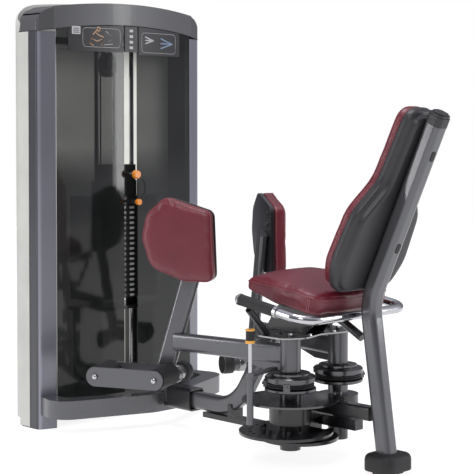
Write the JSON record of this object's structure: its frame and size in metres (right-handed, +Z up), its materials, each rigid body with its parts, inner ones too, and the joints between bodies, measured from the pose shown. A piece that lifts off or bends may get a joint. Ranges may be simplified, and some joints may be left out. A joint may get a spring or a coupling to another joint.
{
  "type": "hip abductor machine",
  "caption": "Selectorised seated hip machine with a weight tower, two coupled swinging pad arms with foot rests, a red upholstered seat and reclined backrest.",
  "frame": {"origin": "on the floor under the centre of the bounding box, on the machine's mirror plane", "axes": "+X from the weight tower to the seat's rear, +Y to the seated user's right, +Z up"},
  "size_m": [1.7046, 0.9056, 1.564],
  "materials": {
    "frame_grey": "satin",
    "frame_black": "satin",
    "shroud_light": "matte",
    "smoked_panel": "gloss",
    "placard_black": "matte",
    "steel_bright": "brushed",
    "chrome": "polished",
    "plate_black": "matte",
    "black_plastic": "satin",
    "rubber_black": "matte",
    "upholstery_red": "satin",
    "knob_orange": "gloss",
    "ring_yellow": "gloss"
  },
  "bodies": {
    "frame": {"upright_left": "frame_grey", "upright_right": "frame_grey", "tower_cap": "frame_grey", "rear_shroud": "shroud_light", "panel_left": "smoked_panel", "panel_right": "smoked_panel", "placards": "placard_black", "base_bow": "frame_grey", "tower_base": "frame_black", "guide_rods": "chrome", "stack_bumpers": "rubber_black", "pulley_brackets": "frame_black", "weight_plates": "plate_black", "lift_cable": "rubber_black", "cable_return": "rubber_black", "main_beam": "frame_grey", "lower_beam": "frame_black", "hub_frame": "frame_black", "bridge_plate": "steel_bright", "pivot_shafts": "chrome", "stop_plates": "frame_black", "rear_beam": "frame_black", "rear_post": "frame_grey", "post_cap": "black_plastic", "post_plugs": "rubber_black", "rear_foot": "rubber_black", "seat_brace": "frame_black", "seat_frame": "frame_black", "seat_cushion": "upholstery_red", "handle_tube": "chrome", "handle_grips": "rubber_black", "grip_caps": "chrome", "backrest_shell": "black_plastic", "backrest_pad": "upholstery_red"},
    "carriage": {"top_plate": "frame_black", "addon_weight": "plate_black", "pin_tether": "rubber_black"},
    "selector_pin": {"selector_pin": "knob_orange"},
    "addon_knob": {"addon_knob": "knob_orange"},
    "head_pulley": {"head_pulley": "black_plastic"},
    "base_pulley": {"base_pulley": "black_plastic"},
    "cam_left": {"cam_left": "steel_bright"},
    "cam_right": {"cam_right": "steel_bright"},
    "arm_left": {"arm_left": "frame_grey", "pad_upright_left": "frame_grey", "pad_shell_left": "frame_black", "pad_left": "upholstery_red", "foot_bars_left": "frame_grey", "foot_pegs_left": "rubber_black", "lever_guide": "frame_grey"},
    "arm_right": {"arm_right": "frame_grey", "pad_upright_right": "frame_grey", "pad_shell_right": "frame_black", "pad_right": "upholstery_red", "foot_bars_right": "frame_grey", "foot_pegs_right": "rubber_black"},
    "start_lever": {"start_lever": "chrome", "lever_grip": "rubber_black", "lever_rings": "ring_yellow"}
  },
  "joints": [
    {"name": "arm_left_swing", "type": "hinge", "parent": "frame", "child": "arm_left", "pos_m": [0.3137, -0.118, 0.35], "axis": [0, 0, 1], "range_deg": [-5, 45]},
    {"name": "arm_right_swing", "type": "hinge", "parent": "frame", "child": "arm_right", "pos_m": [0.3137, 0.118, 0.35], "axis": [0, 0, 1], "range_deg": [-45, 5]},
    {"name": "carriage_lift", "type": "slide", "parent": "frame", "child": "carriage", "axis": [0, 0, 1], "range_m": [0, 0.14], "deforming": ["lift_cable"]},
    {"name": "cam_left_turn", "type": "hinge", "parent": "frame", "child": "cam_left", "pos_m": [0.3137, -0.118, 0.26], "axis": [0, 0, 1], "range_deg": [-50.5, 0.5]},
    {"name": "cam_right_turn", "type": "hinge", "parent": "frame", "child": "cam_right", "pos_m": [0.3137, 0.118, 0.26], "axis": [0, 0, 1], "range_deg": [-0.5, 50.5]},
    {"name": "head_pulley_spin", "type": "hinge", "parent": "frame", "child": "head_pulley", "pos_m": [-0.7533, 0, 1.33], "axis": [0, 1, 0], "range_deg": [-205, 5]},
    {"name": "base_pulley_spin", "type": "hinge", "parent": "frame", "child": "base_pulley", "pos_m": [-0.7533, 0, 0.152], "axis": [0, 1, 0], "range_deg": [-205, 5]},
    {"name": "selector_pin_pull", "type": "slide", "parent": "carriage", "child": "selector_pin", "axis": [1, 0, 0], "range_m": [0, 0.085]},
    {"name": "addon_knob_pull", "type": "slide", "parent": "carriage", "child": "addon_knob", "axis": [1, 0, 0], "range_m": [0, 0.012]},
    {"name": "start_lever_lift", "type": "slide", "parent": "arm_left", "child": "start_lever", "axis": [0, 0, 1], "range_m": [0, 0.02]}
  ],
  "couplings": [
    {"joint": "arm_right_swing", "follows": "arm_left_swing", "ratio": -1},
    {"joint": "cam_left_turn", "follows": "carriage_lift", "rad_per_m": -6.2333},
    {"joint": "cam_right_turn", "follows": "carriage_lift", "rad_per_m": 6.2333},
    {"joint": "head_pulley_spin", "follows": "carriage_lift", "rad_per_m": -25},
    {"joint": "base_pulley_spin", "follows": "carriage_lift", "rad_per_m": -25}
  ]
}
